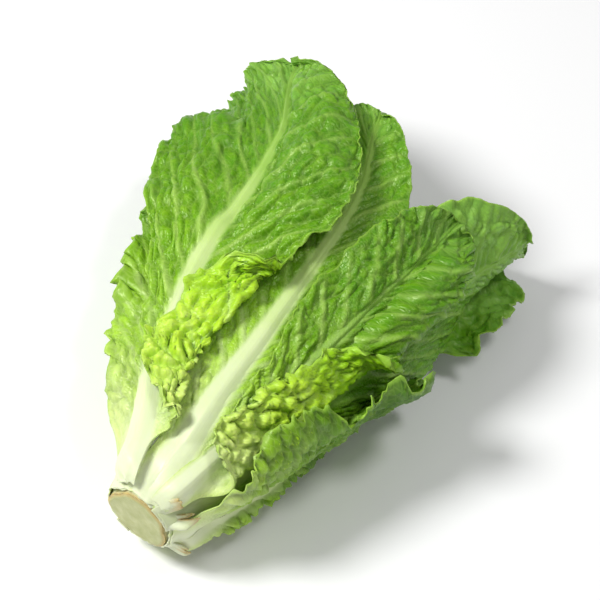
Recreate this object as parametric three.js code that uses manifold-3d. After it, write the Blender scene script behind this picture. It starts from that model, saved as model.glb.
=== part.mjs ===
// A head of romaine lettuce lying on its side: a cut stem, and the leaves that clasp it, each leaf a
// solid of its own. The leaves are laid round the head one after another, from the heart outwards,
// and each one drapes over everything that is already there.
//
// Units are millimetres and degrees. +Z is up and +X runs from the cut stem to the leaf tips. A place
// on the head is given by X, by its angle round the head and by its radius: angle 0 is +Y, 90 is the
// top and 270 is the underside that lies on the table.
import * as THREE from "three";
import Module from "manifold-3d";

// The whole head
const HEAD_LENGTH = 300;
const TILT = 1.5; // how far the leafy end is raised
const WIDE = 0.75; // how much wider than round the leafy end is
const SAG = 0.28; // how far the weight of the head flattens its underside
const LEAN = 25; // how far the leafy end lies to +Y of the stem
const REST_DEPTH = 1.6; // depth of the flat that the lowest leaf is pressed to
const WIDENING = 1.2; // allowance for surfaces that slope along the head
const GAP = 0.3; // clearance between two solids

// The stem: its flat cut, its widest place, and the core inside the leaves
const STEM = { cutRadius: 20, bodyRadius: 22.5, bodyAt: 11, coreRadius: 8, coreAt: 46, length: 92 };

// Leaf tissue
const LAMINA = 1.2; // thickness of a blade
const AIR = { stem: 0.5, tips: 2.2 }; // free space under a leaf, at both ends of the head
const RIB_DEPTH = 0.55; // depth of a rib at its root, as a share of its half width
const SWEEP = 0.24; // how far the margins run ahead of the rib, per millimetre of width
const CURL_RADIUS = 4.5; // of a margin that folds back

// The leaves, from the innermost to the outermost.
//   start   where the leaf leaves the stem, along X, and its length from there
//   angle   where its rib stands round the head, evenly spaced from the root to the tip
//   left    half widths of the blade towards smaller angles, and right towards larger ones
//   rib     half width of the rib at its root
//   out     radius the leaf spreads to, and lift, how far its margins stand off beyond that
//   wings   margins that fold outwards: side, reach along the leaf, distance of the fold from the
//           rib and width beyond it, both at the two ends of that reach, and fold angle
//   lobes   parts of the blade that bulge outwards: side, reach along the leaf and height
const HEART = Array.from({ length: 8 }, (_, i) => {
  const [root, full] = [6 + i, 17 + 4 * i];
  const width = [root, root * 0.75 + full * 0.25, root * 0.3 + full * 0.7, full, full, full];
  return {
    name: `heart_leaf_${i + 1}`,
    start: 56 - 5 * i,
    length: 116 + 18 * i,
    angle: [137.5 * i, 137.5 * i + 8],
    left: width,
    right: width,
    rib: 3 + 0.6 * i,
    out: 10 + 4.6 * i,
    lift: 1,
  };
});

const OUTER = [
  { name: "under_leaf_side", start: 11, length: 244, angle: [322, 325, 328, 330, 334, 338],
    left: [13, 20, 35, 43, 44, 44], right: [13, 20, 35, 43, 44, 44], rib: 9, out: 50, lift: 3 },
  { name: "under_leaf_back", start: 11, length: 236, angle: [232, 230, 228, 226, 223, 220],
    left: [12, 19, 32, 39, 40, 40], right: [12, 20, 35, 43, 44, 44], rib: 9, out: 46, lift: 1 },
  { name: "under_leaf_middle", start: 9, length: 262, angle: [276, 275, 275, 274, 273, 272],
    left: [14, 22, 38, 47, 48, 48], right: [14, 22, 38, 47, 48, 48], rib: 10.5, out: 46, lift: 1 },
  { name: "right_leaf", start: 9, length: 291, angle: [145, 146, 151, 155, 162, 176],
    left: [12, 18, 28, 35, 42, 50], right: [12, 18, 30, 46, 52, 54], rib: 10, out: 50, lift: 4,
    wings: [{ side: 1, from: 0.64, to: 1.04, hinges: [31, 36], reaches: [10, 14], fold: 150 }] },
  { name: "left_leaf", start: 7, length: 230, angle: [50, 48, 43, 37, 33, 30],
    left: [14, 29, 28, 20, 18, 20], right: [12, 14, 18, 20, 22, 24], rib: 9.5, out: 57, lift: 6 },
  { name: "centre_leaf", start: 6, length: 286, angle: [98, 97, 101, 101, 95, 80],
    left: [11.5, 19, 34, 43, 44, 44], right: [12, 20, 28, 30, 34, 34], rib: 12, out: 54, lift: 2 },
  { name: "top_right_leaf", start: 8, length: 250, angle: [119, 121, 124, 125, 127, 130],
    left: [8, 11, 22, 30, 33, 33], right: [9, 16, 28, 37, 40, 40], rib: 8, out: 54, lift: 2,
    wings: [{ side: 1, from: 0.04, to: 0.6, hinges: [6, 24], reaches: [22, 32], fold: 165 }],
    lobes: [{ side: 1, from: 0.55, to: 1, height: 4 }] },
  { name: "top_left_leaf", start: 5, length: 297, angle: [68, 56, 62, 66, 57, 38],
    left: [10, 9, 32, 76, 80, 76], right: [9, 12, 43, 55, 56, 56], rib: 12, out: 60, lift: 6,
    wings: [{ side: 1, from: 0.06, to: 0.5, hinges: [9, 40], reaches: [18, 27], fold: 165 }],
    lobes: [{ side: 1, from: 0.55, to: 1, height: 5 }] },
  { name: "low_right_leaf", start: 4, length: 176, angle: [190, 192, 195, 197, 198, 198],
    left: [14, 30, 40, 43, 42, 38], right: [11, 11, 12, 13, 13, 13], rib: 8.5, out: 44, lift: 1 },
];
const LOWEST = "under_leaf_middle";
const LEAVES = [...HEART, ...OUTER].map((leaf) => ({ wings: [], lobes: [], ...leaf }));

const wasm = await Module();
wasm.setup();

const radians = THREE.MathUtils.degToRad;
const mix = THREE.MathUtils.lerp;
const ramp = (value, low, high) => THREE.MathUtils.smoothstep(value, low, high);

// ---- The shape of the head ----

// How far the head's cross-section is stretched sideways and pressed together, at a place on it.
function stretch(x, angle) {
  const wide = 1 + WIDE * ramp(x, -20, 190);
  const under = (1 - Math.sin(radians(angle))) / 2;
  return { wide, tall: 1 - SAG * under * ramp(x, 10, 120) };
}

function lean(x) {
  return LEAN * ramp(x, 20, 190);
}

function headPoint(x, angle, radius) {
  const { wide, tall } = stretch(x, angle);
  const y = lean(x) + radius * wide * Math.cos(radians(angle));
  return new THREE.Vector3(x, y, radius * tall * Math.sin(radians(angle)));
}

// The change of radius that moves a surface outwards by one millimetre, with some to spare where
// the head widens.
function radiusPerMillimetre(x, angle) {
  const { wide, tall } = stretch(x, angle);
  const c = tall * Math.cos(radians(angle));
  const s = wide * Math.sin(radians(angle));
  return (WIDENING * Math.hypot(c, s)) / (wide * tall);
}

// The stem's own radius: the cut, the body, and the core that thins out inside the heart.
function stemRadius(x) {
  if (x < STEM.bodyAt) return mix(STEM.cutRadius, STEM.bodyRadius, ramp(x, 0, STEM.bodyAt));
  const core = mix(STEM.bodyRadius, STEM.coreRadius, ramp(x, STEM.bodyAt, STEM.coreAt));
  return core * mix(1, 0.3, ramp(x, STEM.coreAt, STEM.length));
}

// How far the head has opened out at X: 0 at the cut and 1 where it is widest.
function spread(x) {
  return 0.6 * ramp(x, -8, 70) + 0.4 * ramp(x, 30, 210) - 0.14 * ramp(x, 225, 310);
}

// ---- What has been laid so far, as radii over a grid of X and angle ----

const CELL = { x: 2.5, angle: 3 };
const ROWS = Math.ceil((HEAD_LENGTH + 20) / CELL.x);
const COLUMNS = 360 / CELL.angle;
const REACH = { x: 2, angle: 3 }; // cells that a bump is felt beyond itself

const wrap = (column) => ((column % COLUMNS) + COLUMNS) % COLUMNS;

// Replaces every radius by a mix of the ones within reach of it, along X or round the head.
function spreadOut(surface, alongX, combine) {
  const reach = alongX ? REACH.x : REACH.angle;
  return surface.map((_, cell) => {
    const row = Math.floor(cell / COLUMNS);
    const column = cell % COLUMNS;
    const near = [];
    for (let k = -reach; k <= reach; k += 1) {
      const i = alongX ? Math.min(ROWS - 1, Math.max(0, row + k)) : row;
      near.push(surface[i * COLUMNS + (alongX ? column : wrap(column + k))]);
    }
    return combine(near);
  });
}

const largest = (values) => Math.max(...values);
const average = (values) => values.reduce((sum, value) => sum + value, 0) / values.length;

// A smooth surface that lies on everything laid so far and nowhere dips below it.
function drape(surface) {
  const raised = spreadOut(spreadOut(surface, true, largest), false, largest);
  return spreadOut(spreadOut(raised, true, average), false, average);
}

// The radius of a surface between its grid points.
function radiusAt(surface, x, angle) {
  const row = Math.min(ROWS - 1.001, Math.max(0, x / CELL.x));
  const column = (((angle % 360) + 360) % 360) / CELL.angle;
  const [i, j] = [Math.floor(row), Math.floor(column)];
  const value = (di, dj) => surface[(i + di) * COLUMNS + wrap(j + dj)];
  const low = mix(value(0, 0), value(0, 1), column - j);
  const high = mix(value(1, 0), value(1, 1), column - j);
  return mix(low, high, row - i);
}

// ---- One leaf ----

// A smooth curve through values that are spread evenly from the root to the tip.
function along(values, u) {
  const last = values.length - 1;
  const place = Math.min(1, Math.max(0, u)) * last;
  const i = Math.min(last - 1, Math.floor(place));
  const t = place - i;
  const [before, after] = [values[Math.max(0, i - 1)], values[Math.min(last, i + 2)]];
  const [low, high] = [values[i], values[i + 1]];
  return low * (2 * t ** 3 - 3 * t ** 2 + 1) + ((high - before) / 2) * (t ** 3 - 2 * t ** 2 + t)
    + high * (3 * t ** 2 - 2 * t ** 3) + ((after - low) / 2) * (t ** 3 - t ** 2);
}

function ribHalfWidth(leaf, u) {
  return leaf.rib * mix(1, 0.1, Math.sqrt(u));
}

// How far the rib stands out from the back of the blade, at a distance from its middle.
function ribHeight(leaf, u, distance) {
  const half = ribHalfWidth(leaf, u);
  const depth = half * mix(RIB_DEPTH, 0.45, u) * ramp(u, -0.06, 0.05);
  return depth * Math.exp(-0.9 * (distance / half) ** 2);
}

// Half width of the blade, rounded off to the tip.
function halfWidth(leaf, u, side) {
  const end = Math.min(1, Math.max(0, (u - 0.6) / 0.4));
  return Math.max(2.5, along(side > 0 ? leaf.right : leaf.left, u) * Math.sqrt(1 - end ** 2.2));
}

// A share that rises from 0 to 1 and falls back within a reach along the leaf.
function within(part, u, ease) {
  if (!part) return 0;
  return ramp(u, part.from, part.from + ease) * (1 - ramp(u, part.to - ease, part.to));
}

// The section across one half of a leaf, from its rib: how far each point lies across, how far it
// is raised off the head, and its distance from the rib along the leaf.
function halfSection(leaf, u, side, steps) {
  const wing = leaf.wings.find((part) => part.side === side);
  const lobe = leaf.lobes.find((part) => part.side === side);
  const folded = within(wing, u, 0.1);
  const blade = halfWidth(leaf, u, side);
  let [width, hinge] = [blade, blade];
  if (wing) {
    const share = (u - wing.from) / (wing.to - wing.from);
    hinge = mix(...wing.hinges, share);
    const whole = hinge + CURL_RADIUS * Math.PI + mix(...wing.reaches, share);
    width = mix(blade, whole, within(wing, u, 0.14));
  }
  const points = [{ across: 0, raised: 0, distance: 0 }];
  let [across, folding] = [0, 0];
  for (let i = 1; i <= steps; i += 1) {
    const middle = ((i - 0.5) / steps) * width;
    const turned = ramp(middle, hinge, hinge + CURL_RADIUS * Math.PI);
    const slope = radians(wing ? folded * wing.fold * turned : 0);
    across += (width / steps) * Math.cos(slope);
    folding += (width / steps) * Math.sin(slope);
    const v = i / steps;
    const lifted = leaf.lift * v * v * ramp(u, 0.2, 0.8) * (1 - folded);
    const bulging = lobe ? lobe.height * within(lobe, u, 0.2) * Math.sin(Math.PI * v) ** 2 : 0;
    points.push({ across, raised: folding + lifted + bulging, distance: v * width });
  }
  return points;
}

// A leaf's middle surface as rows of places on the head, from its root to its tip.
function layLeaf(leaf, laid, rows, steps) {
  return Array.from({ length: rows + 1 }, (_, i) => {
    const u = i / rows - (0.45 * Math.sin((2 * Math.PI * i) / rows)) / (2 * Math.PI);
    const x = leaf.start + leaf.length * u;
    const rib = along(leaf.angle, u);
    const support = (px, angle) => Math.max(
      radiusAt(laid, px, angle) + mix(AIR.stem, AIR.tips, ramp(px, 20, 200))
        + (GAP + LAMINA / 2) * radiusPerMillimetre(px, angle),
      STEM.cutRadius + (leaf.out - STEM.cutRadius) * spread(px));
    const here = support(x, rib);
    const perDegree = headPoint(x, rib + 1, here).distanceTo(headPoint(x, rib - 1, here)) / 2;
    const half = (side) => halfSection(leaf, u, side, steps).map((point) => {
      const px = x + SWEEP * ramp(u, 0, 0.5) * point.across;
      const angle = rib + (side * point.across) / perDegree;
      const radius = support(px, angle) + point.raised;
      return { x: px, angle, radius, u, distance: point.distance };
    });
    return [...half(-1).reverse(), ...half(1).slice(1)];
  });
}

// The surface of what is laid, raised to the back of a new leaf wherever the leaf covers it.
function cover(surface, leaf, places) {
  for (const { x, angle, radius, u, distance } of places.flat()) {
    const depth = LAMINA / 2 + ribHeight(leaf, u, distance);
    const back = radius + depth * radiusPerMillimetre(x, angle);
    const row = Math.min(ROWS - 1, Math.max(0, Math.round(x / CELL.x)));
    const cell = row * COLUMNS + wrap(Math.round(angle / CELL.angle));
    surface[cell] = Math.max(surface[cell], back);
  }
}

// A closed solid round a leaf's middle surface: the blade, and the rib that stands out on its back.
function leafGeometry(leaf, places) {
  const grid = places.map((row) => row.map((p) => headPoint(p.x, p.angle, p.radius)));
  const rows = grid.length - 1;
  const columns = grid[0].length - 1;
  const positions = [];
  const at = (i, j, back) => 2 * (i * (columns + 1) + j) + (back ? 1 : 0);
  grid.forEach((row, i) => row.forEach((point, j) => {
    const along = new THREE.Vector3().subVectors(
      grid[Math.min(rows, i + 1)][j], grid[Math.max(0, i - 1)][j]);
    const across = new THREE.Vector3().subVectors(
      row[Math.min(columns, j + 1)], row[Math.max(0, j - 1)]);
    const outwards = across.cross(along).normalize();
    const { u, distance } = places[i][j];
    const back = LAMINA / 2 + ribHeight(leaf, u, distance);
    positions.push(...point.clone().addScaledVector(outwards, -LAMINA / 2).toArray());
    positions.push(...point.clone().addScaledVector(outwards, back).toArray());
  }));
  const faces = [];
  const quad = (a, b, c, d) => faces.push(a, c, b, a, d, c);
  for (let i = 0; i < rows; i += 1) {
    for (let j = 0; j < columns; j += 1) {
      quad(at(i, j, 1), at(i + 1, j, 1), at(i + 1, j + 1, 1), at(i, j + 1, 1));
      quad(at(i, j, 0), at(i, j + 1, 0), at(i + 1, j + 1, 0), at(i + 1, j, 0));
    }
    quad(at(i, 0, 1), at(i, 0, 0), at(i + 1, 0, 0), at(i + 1, 0, 1));
    quad(at(i, columns, 1), at(i + 1, columns, 1), at(i + 1, columns, 0), at(i, columns, 0));
  }
  for (let j = 0; j < columns; j += 1) {
    quad(at(0, j, 1), at(0, j + 1, 1), at(0, j + 1, 0), at(0, j, 0));
    quad(at(rows, j, 1), at(rows, j, 0), at(rows, j + 1, 0), at(rows, j + 1, 1));
  }
  return new THREE.BufferGeometry()
    .setAttribute("position", new THREE.Float32BufferAttribute(positions, 3))
    .setIndex(faces);
}

// ---- The stem ----

// Turned about X, then leaned over with the rest of the head.
function stemGeometry() {
  const steps = 14;
  const profile = [new THREE.Vector2(0, 0)];
  for (let i = 0; i <= steps; i += 1) {
    const x = STEM.length * Math.pow(i / steps, 1.3);
    profile.push(new THREE.Vector2(stemRadius(x), x));
  }
  profile.push(new THREE.Vector2(0, STEM.length));
  const geometry = new THREE.LatheGeometry(profile, 28).rotateZ(-Math.PI / 2);
  const position = geometry.attributes.position;
  for (let i = 0; i < position.count; i += 1) {
    position.setY(i, position.getY(i) + lean(position.getX(i)));
  }
  return geometry;
}

// The stem's surface on the grid, in the head's stretched measure.
function stemSurface() {
  return Float32Array.from({ length: ROWS * COLUMNS }, (_, cell) => {
    const x = Math.floor(cell / COLUMNS) * CELL.x;
    const angle = (cell % COLUMNS) * CELL.angle;
    const unit = headPoint(x, angle, 1).sub(new THREE.Vector3(x, lean(x), 0)).length();
    return x < STEM.length ? stemRadius(x) / unit : 0;
  });
}

// ---- The flat that the head lies on ----

// Cuts the lowest leaf level with the table, which presses its rib flat.
function pressFlat(geometry) {
  geometry.computeBoundingBox();
  const solid = new wasm.Manifold(new wasm.Mesh({
    numProp: 3,
    vertProperties: new Float32Array(geometry.attributes.position.array),
    triVerts: new Uint32Array(geometry.index.array),
  }));
  const pressed = solid.trimByPlane([0, 0, 1], geometry.boundingBox.min.z + REST_DEPTH).getMesh();
  return new THREE.BufferGeometry()
    .setAttribute("position", new THREE.BufferAttribute(pressed.vertProperties, 3))
    .setIndex(new THREE.BufferAttribute(pressed.triVerts, 1));
}

// ---- The head ----

const leafMaterial = (outer) => new THREE.MeshStandardMaterial({
  color: outer ? 0x7fae3c : 0xcfe08a, roughness: 0.5, metalness: 0 });
const stemMaterial = new THREE.MeshStandardMaterial({ color: 0xd6dcae, roughness: 0.6 });

const lettuce = new THREE.Group();

function place(name, geometry, material) {
  const mesh = new THREE.Mesh(geometry, material);
  mesh.name = name;
  lettuce.add(mesh);
}

place("stem", stemGeometry().rotateY(radians(-TILT)), stemMaterial);
const laid = stemSurface();
LEAVES.forEach((leaf, index) => {
  const outer = index >= HEART.length;
  const steps = outer ? (leaf.wings.length ? 11 : 7) : 4;
  const draped = drape(laid);
  const solid = leafGeometry(leaf, layLeaf(leaf, draped, outer ? 15 : 10, steps));
  solid.rotateY(radians(-TILT));
  place(leaf.name, leaf.name === LOWEST ? pressFlat(solid) : solid, leafMaterial(outer));
  cover(laid, leaf, layLeaf(leaf, draped, 160, 40));
});

// The origin is on the table, under the middle of the head.
lettuce.updateMatrixWorld(true);
const bounds = new THREE.Box3().setFromObject(lettuce, true);
const centre = bounds.getCenter(new THREE.Vector3());
lettuce.children.forEach((mesh) => mesh.position.set(-centre.x, -centre.y, -bounds.min.z));

export default lettuce;
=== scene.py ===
"""A head of romaine lettuce lying on its side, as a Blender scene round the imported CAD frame.

Every leaf is laid round the head from the heart outwards, draped over the leaves below it, and then
gets its relief: veins, pleats, blisters, ruffled and ragged margins. Lengths are millimetres in the
head's own frame, X from the cut stem to the tips, until the last step turns them into metres.
"""

import math
from types import SimpleNamespace

import bpy
import numpy as np
from mathutils import Matrix, Vector


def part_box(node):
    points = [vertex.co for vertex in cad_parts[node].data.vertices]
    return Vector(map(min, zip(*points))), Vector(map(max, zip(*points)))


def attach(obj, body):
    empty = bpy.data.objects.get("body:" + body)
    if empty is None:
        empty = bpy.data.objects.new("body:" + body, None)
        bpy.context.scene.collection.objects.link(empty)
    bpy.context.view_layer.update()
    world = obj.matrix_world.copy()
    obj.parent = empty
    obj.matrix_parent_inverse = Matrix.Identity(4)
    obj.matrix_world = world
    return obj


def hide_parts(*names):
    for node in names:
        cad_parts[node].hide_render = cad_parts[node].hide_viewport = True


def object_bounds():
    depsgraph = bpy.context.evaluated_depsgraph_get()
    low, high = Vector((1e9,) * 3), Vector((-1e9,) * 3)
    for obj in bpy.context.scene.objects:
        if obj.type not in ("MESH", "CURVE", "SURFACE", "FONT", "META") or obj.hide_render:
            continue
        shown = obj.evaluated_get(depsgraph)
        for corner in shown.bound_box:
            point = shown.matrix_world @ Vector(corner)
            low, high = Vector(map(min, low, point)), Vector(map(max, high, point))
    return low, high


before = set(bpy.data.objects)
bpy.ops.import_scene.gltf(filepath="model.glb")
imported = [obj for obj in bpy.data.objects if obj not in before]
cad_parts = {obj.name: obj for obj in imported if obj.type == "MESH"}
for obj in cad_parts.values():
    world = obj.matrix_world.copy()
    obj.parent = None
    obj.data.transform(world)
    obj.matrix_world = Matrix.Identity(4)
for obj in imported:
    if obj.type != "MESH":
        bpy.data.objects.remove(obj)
CAD_BOX = [list(corner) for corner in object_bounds()]

METRES = 0.001

# ---- The head, as in the CAD ----

HEAD_LENGTH = 300
TILT = math.radians(1.5)  # how far the leafy end is raised
WIDE = 0.75  # how much wider than round the leafy end is
SAG = 0.28  # how far the weight of the head flattens its underside
LEAN = 25  # how far the leafy end lies to +Y of the stem
WIDENING = 1.2  # allowance for surfaces that slope along the head
GAP = 0.3  # clearance between two solids
STEM = dict(cut=20, body=22.5, body_at=11, core=8, core_at=46, length=92)  # radii and their places
CORE_TAPER = 0.3  # radius of the core's end, as a share of the core's
STEM_RINGS, STEM_SIDES = 14, 28  # of the stem's solid
STEM_CROWDING = 1.3  # how much closer its rings stand near the cut
LAMINA = 1.2  # room a blade takes in the CAD
AIR = (0.5, 2.2)  # free space under a leaf, at the stem and at the tips
RIB_DEPTH = (0.55, 0.45)  # depth of a rib at its root and tip, as a share of its half width
RIB_TIP = 0.1  # width of a rib at its tip, as a share of its root's
RIB_FALL = 0.9  # how fast a rib falls off beside its crown
SWEEP = 0.24  # how far the margins run ahead of the rib, per millimetre of width
CURL_RADIUS = 4.5  # of a margin that folds back

# ---- The finer surface ----

BLADE = 0.7  # thickness of a blade
PRESSED = 0.4  # thickness that is left of the lowest leaf where the head rests on it
BASE = 1.2  # where the leaves' bases end, beside the cut
BASE_END = 32  # up to where they are drawn out towards the cut
BASE_STEP = 0.18  # how much further out every next leaf's base lies
LOBE_STEP = 7.0  # how steeply a lobe rises from the crease beside it
VEIN_SPACING = 23  # between side veins, along the rib
VEIN_SLANT = 0.62  # width across a side vein, per millimetre along the rib
RELIEF = dict(vein=1.5, pleat=0.45, swell=3.0)  # heights
BLISTER = dict(large=1.7, small=0.6, folded=1.1)  # heights, as multiples of a leaf's puff
ROOM_SHARE = dict(under=0.42, over=0.5)  # of the free room, that the relief may take
LEAST_ROOM = 0.02  # that counts as free where leaves touch

CELL_X, CELL_ANGLE = 2.5, 3  # of the grid that the leaves are draped on
BEYOND = 20  # how far the grid runs past the head
ROWS = math.ceil((HEAD_LENGTH + BEYOND) / CELL_X)
COLUMNS = 360 // CELL_ANGLE
FREE = 14.0  # most clearance that is told apart
OPEN = FREE - 1.5  # clearance counted as open space
DRAPED_ROWS, DRAPED_STEPS = 160, 40  # of a leaf while it is draped
ROW_CROWDING = 0.45  # how much closer the rows stand at a leaf's root and tip


# ---- Small helpers ----

def ease(t):
    return t * t * (3 - 2 * t)


def ramp(value, low, high):
    """A smooth rise from 0 at low to 1 at high."""
    return ease(np.clip((value - low) / (high - low), 0, 1))


def within(u, low, high, edge):
    """1 between low and high, with a smooth rise and fall of a given width inside both ends."""
    return ramp(u, low, low + edge) * (1 - ramp(u, high - edge, high))


def mix(a, b, share):
    return a + (b - a) * share


# ---- The leaves, from the innermost to the outermost ----

def leaf(name, start, length, angle, left, right, rib, out, lift, **more):
    """One leaf: where it starts along X, how long it is, and its outline.

    angle, left and right are the rib's angle round the head and the half widths of the blade, evenly
    spaced from root to tip. rib is the rib's half width at its root, out the radius that the leaf
    spreads to, and lift how far its margins stand off beyond that. Sides are -1 for left and 1 for
    right. wings fold outwards: (side, from, to, hinges, reaches, fold in degrees). lobes bulge:
    (side, from, to, height). ruffle is how far the margin waves, ragged how deep it is torn, puff how
    high the blisters stand, cell how wide they are and crease how deep the wrinkles are. flap is how
    far the left margin stands off near the stem, and flare how far the tip does. tone is how dark the
    leaf is, faint how green its rib turns, and cool how deep a green its back and inner face are.
    """
    made = dict(name=name, start=start, length=length, angle=angle, left=left, right=right, rib=rib,
                out=out, lift=lift, wings=[], lobes=[], ruffle=3.0, ragged=1.0, puff=0.8, cell=8.0,
                crease=0.8, flap=0.0, flare=0.0, faint=0.0, cool=(0.0, 0.0), tone=0.0, heart=False)
    made.update(more)
    return made


HEART_LEAVES = 8
SPIRAL = 137.5  # angle between one leaf of the heart and the next


def heart_leaf(i):
    """A leaf of the heart, where every next one is wider, longer and starts nearer to the cut."""
    root, full = 6 + i, 17 + 4 * i
    width = (root, mix(root, full, 0.25), mix(root, full, 0.7), full, full, full)
    return leaf(f"heart_leaf_{i + 1}", 56 - 5 * i, 116 + 18 * i,
                (SPIRAL * i, SPIRAL * i + 8), width, width, 3 + 0.6 * i, 10 + 4.6 * i, 1,
                ruffle=1.5, puff=0.7, tone=-0.1, heart=True)


HEART = [heart_leaf(i) for i in range(HEART_LEAVES)]

OUTER = [
    leaf("under_leaf_side", 11, 244, (322, 325, 328, 330, 334, 338), (13, 20, 35, 43, 44, 44),
         (13, 20, 35, 43, 44, 44), 9, 50, 3),
    leaf("under_leaf_back", 11, 236, (232, 230, 228, 226, 223, 220), (12, 19, 32, 39, 40, 40),
         (12, 20, 35, 43, 44, 44), 9, 46, 1),
    leaf("under_leaf_middle", 9, 262, (276, 275, 275, 274, 273, 272), (14, 22, 38, 47, 48, 48),
         (14, 22, 38, 47, 48, 48), 10.5, 46, 1, ruffle=1.0, ragged=0.7, puff=0.5),
    leaf("right_leaf", 9, 291, (145, 146, 151, 155, 162, 176), (12, 18, 28, 35, 42, 50),
         (12, 18, 30, 46, 52, 54), 10, 50, 4, ruffle=3.5, ragged=0.8, cool=(0.0, 0.9), puff=1.5,
         flare=6, tone=0.1, faint=0.4, wings=[(1, 0.64, 1.04, (31, 36), (10, 14), 150)]),
    leaf("left_leaf", 7, 230, (50, 48, 43, 37, 33, 30), (14, 29, 28, 20, 18, 20),
         (12, 14, 18, 20, 22, 24), 9.5, 57, 6, ruffle=7.0, ragged=2.6, puff=1.6, flap=11, tone=-0.1),
    leaf("centre_leaf", 6, 286, (98, 97, 101, 101, 95, 80), (11.5, 19, 34, 43, 44, 44),
         (12, 20, 28, 30, 34, 34), 12, 54, 2, puff=1.3, ruffle=4.0, flare=3, tone=-0.1),
    leaf("top_right_leaf", 8, 250, (119, 121, 124, 125, 127, 130), (8, 11, 22, 30, 33, 33),
         (9, 16, 28, 37, 40, 40), 8, 54, 2, puff=1.8, ragged=1.2, cool=(0.15, 0.0), crease=3.2,
         tone=-0.04, faint=0.7, wings=[(1, 0.04, 0.6, (6, 24), (22, 32), 165)], lobes=[(1, 0.55, 1, 4)]),
    leaf("top_left_leaf", 5, 297, (68, 56, 62, 66, 57, 38), (10, 9, 32, 76, 80, 76),
         (9, 12, 43, 55, 56, 56), 12, 60, 6, puff=1.8, ruffle=5.0, ragged=1.3, crease=3.0, flare=8,
         wings=[(1, 0.06, 0.5, (9, 40), (18, 27), 165)], lobes=[(1, 0.55, 1, 5)]),
    leaf("low_right_leaf", 4, 176, (190, 192, 195, 197, 198, 198), (14, 30, 40, 43, 42, 38),
         (11, 11, 12, 13, 13, 13), 8.5, 44, 1, puff=2.6, ruffle=4.0, ragged=2.4, cool=(1.0, 0.4),
         tone=-0.03, crease=3.0, cell=5.6),
]
LOWEST = "under_leaf_middle"  # the head rests on it
LEAVES = HEART + OUTER

SEED_STEP = 11  # between the seeds of one leaf's noise and the next's
SEEDS = {part["name"]: SEED_STEP * (index + 1) for index, part in enumerate(LEAVES)}


# ---- Repeatable noise ----

def hashed(i, j, seed):
    """A fixed number from 0 to 1 for every pair of whole numbers."""
    h = (i * 374761393 + j * 668265263 + seed * 144269504) & 0xFFFFFFFF
    h = ((h ^ (h >> 13)) * 1274126177) & 0xFFFFFFFF
    h = ((h ^ (h >> 15)) * 2246822519) & 0xFFFFFFFF
    return ((h ^ (h >> 16)) & 0xFFFFFF) / 0xFFFFFF


def noise(x, y, seed):
    """Smooth noise from -1 to 1 with features about one unit wide."""
    i, j = np.floor(x).astype(np.int64), np.floor(y).astype(np.int64)
    fx, fy = ease(x - i), ease(y - j)
    low = mix(hashed(i, j, seed), hashed(i + 1, j, seed), fx)
    high = mix(hashed(i, j + 1, seed), hashed(i + 1, j + 1, seed), fx)
    return 2 * mix(low, high, fy) - 1


def cells(x, y, seed):
    """Irregular cells one unit wide: the distance to their borders and to their middles."""
    i, j = np.floor(x).astype(np.int64), np.floor(y).astype(np.int64)
    nearest = np.full(x.shape, 9.0)
    second = nearest.copy()
    for di in (-1, 0, 1):
        for dj in (-1, 0, 1):
            cx = i + di + 0.1 + 0.8 * hashed(i + di, j + dj, seed)
            cy = j + dj + 0.1 + 0.8 * hashed(i + di, j + dj, seed + 50)
            gap = np.hypot(cx - x, cy - y)
            second = np.minimum(second, np.maximum(nearest, gap))
            nearest = np.minimum(nearest, gap)
    return second - nearest, nearest


# ---- The shape of the head ----

def stretch(x, angle):
    """How far the head's section is stretched sideways, and how far upwards."""
    wide = 1 + WIDE * ramp(x, -20, 190)
    under = (1 - np.sin(np.radians(angle))) / 2
    return wide, 1 - SAG * under * ramp(x, 10, 120)


def lean(x):
    """How far the head's middle lies to +Y."""
    return LEAN * ramp(x, 20, 190)


def head_point(x, angle, radius):
    """Points in millimetres from their place along X, angle round the head and radius."""
    wide, tall = stretch(x, angle)
    turn = np.radians(angle)
    y = lean(x) + radius * wide * np.cos(turn)
    return np.stack(np.broadcast_arrays(x, y, radius * tall * np.sin(turn)), -1)


def radius_per_millimetre(x, angle):
    """How much radius a millimetre of thickness takes up."""
    wide, tall = stretch(x, angle)
    turn = np.radians(angle)
    return WIDENING * np.hypot(tall * np.cos(turn), wide * np.sin(turn)) / (wide * tall)


def stem_radius(x):
    """The trunk swells from its cut, and narrows to the core inside the leaves."""
    low = mix(STEM["cut"], STEM["body"], ramp(x, 0, STEM["body_at"]))
    core = mix(STEM["body"], STEM["core"], ramp(x, STEM["body_at"], STEM["core_at"]))
    taper = mix(1, CORE_TAPER, ramp(x, STEM["core_at"], STEM["length"]))
    return np.where(x < STEM["body_at"], low, core * taper)


def spread(x):
    """How far the leaves have spread from the stem, as a share."""
    return 0.6 * ramp(x, -8, 70) + 0.4 * ramp(x, 30, 210) - 0.14 * ramp(x, 225, 310)


# ---- Surfaces over a grid of X and angle ----

GRID_X = np.repeat(np.arange(ROWS)[:, None] * CELL_X, COLUMNS, 1).astype(float)
GRID_ANGLE = np.repeat(np.arange(COLUMNS)[None] * float(CELL_ANGLE), ROWS, 0)
GRID_PER_MM = radius_per_millimetre(GRID_X, GRID_ANGLE)


def around(surface, reach, lengthwise, combine):
    """Combines every cell with those within reach of it, along X or round the head."""
    if lengthwise:
        padded = np.pad(surface, ((reach, reach), (0, 0)), mode="edge")
        near = [padded[k:k + ROWS] for k in range(2 * reach + 1)]
    else:
        near = [np.roll(surface, k, 1) for k in range(-reach, reach + 1)]
    return combine(np.stack(near), 0)


def spread_out(surface, combine, reach_x=2, reach_angle=3):
    """Combines every cell with those near it, both along X and round the head."""
    return around(around(surface, reach_x, True, combine), reach_angle, False, combine)


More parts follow.
